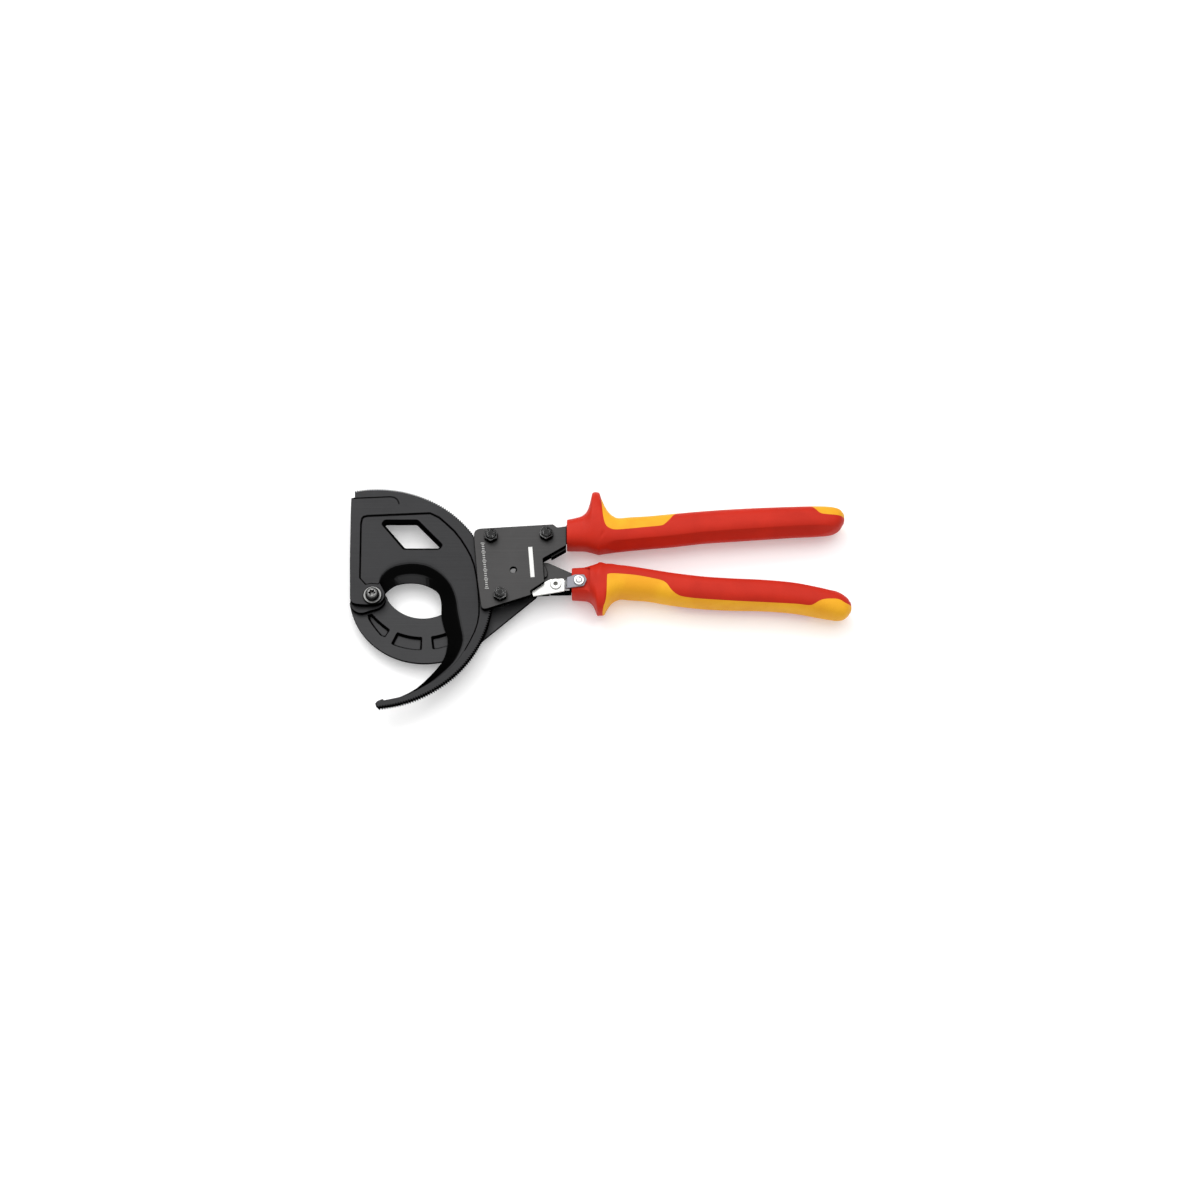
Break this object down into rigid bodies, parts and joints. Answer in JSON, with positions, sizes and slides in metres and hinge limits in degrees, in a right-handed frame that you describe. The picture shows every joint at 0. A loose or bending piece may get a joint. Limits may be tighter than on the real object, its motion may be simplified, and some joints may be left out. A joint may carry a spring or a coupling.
{
  "type": "ratchet cable cutter",
  "caption": "Ratcheting cable cutter: a hooked, toothed moving jaw closes past a fixed ring jaw, driven by pawls between two guarded two-tone handles.",
  "frame": {"origin": "on the jaw pivot axis, at the outer face of the pivot bolt's head, which is the plane the tool lies on", "axes": "+X from the jaw pivot to the ends of the handles, +Y across the jaws to the fixed handle's side, +Z out of the front face"},
  "size_m": [0.323, 0.1536, 0.0248],
  "materials": {
    "blade_steel": "dark burnished",
    "frame_steel": "dark burnished",
    "plate_steel": "dark satin",
    "black_steel": "black oxide",
    "tab_steel": "satin",
    "screw_steel": "phosphated",
    "marking_white": "printed",
    "zinc_steel": "zinc plated",
    "chrome": "polished",
    "red_plastic": "satin",
    "yellow_plastic": "soft touch"
  },
  "bodies": {
    "frame": {"fixed_jaw": "frame_steel", "front_plate": "plate_steel", "handle_core": "plate_steel", "bolt_a": "black_steel", "bolt_b": "black_steel", "bolt_c": "black_steel", "nut_a": "black_steel", "nut_b": "black_steel", "nut_c": "black_steel", "sleeve_a": "zinc_steel", "sleeve_c": "zinc_steel", "spacer_b": "zinc_steel", "pivot_bolt": "black_steel", "pivot_washer": "screw_steel", "pivot_screw": "screw_steel", "lever_pin": "plate_steel", "spring_pin": "zinc_steel", "holding_spring": "zinc_steel", "upper_grip_shell": "red_plastic", "upper_grip_inlay": "yellow_plastic"},
    "jaw": {"moving_jaw": "blade_steel"},
    "lever": {"lower_lever": "plate_steel", "lower_grip_shell": "red_plastic", "lower_grip_inlay": "yellow_plastic", "catch_rivet": "zinc_steel", "pawl_pin": "zinc_steel", "spring_stud": "zinc_steel", "drive_spring": "zinc_steel"},
    "driver": {"drive_pawl": "black_steel"},
    "holder": {"holding_pawl": "black_steel"},
    "catch": {"catch_lever": "zinc_steel", "thumb_tab": "tab_steel", "tab_stud": "chrome"}
  },
  "joints": [
    {"name": "jaw_swing", "type": "hinge", "parent": "frame", "child": "jaw", "pos_m": [0, 0, 0.0126], "axis": [0, 0, 1], "range_deg": [-60, 120]},
    {"name": "lever_swing", "type": "hinge", "parent": "frame", "child": "lever", "pos_m": [0.1015, 0.0155, 0.0118], "axis": [0, 0, 1], "range_deg": [-28, 4.5]},
    {"name": "driver_swing", "type": "hinge", "parent": "lever", "child": "driver", "pos_m": [0.087, 0.031, 0.014], "axis": [0, 0, 1], "range_deg": [0, 11], "stiffness_Nm_per_rad": 0.05, "springref_deg": -20.05, "deforming": ["drive_spring"]},
    {"name": "holder_swing", "type": "hinge", "parent": "frame", "child": "holder", "pos_m": [0.0753, 0.0403, 0.0114], "axis": [0, 0, 1], "range_deg": [0, 8.5], "stiffness_Nm_per_rad": 0.05, "springref_deg": -20.05, "deforming": ["holding_spring"]},
    {"name": "catch_swing", "type": "hinge", "parent": "lever", "child": "catch", "pos_m": [0.1174, 0.008, 0.0149], "axis": [0, 0, 1], "range_deg": [-7, 7]}
  ]
}
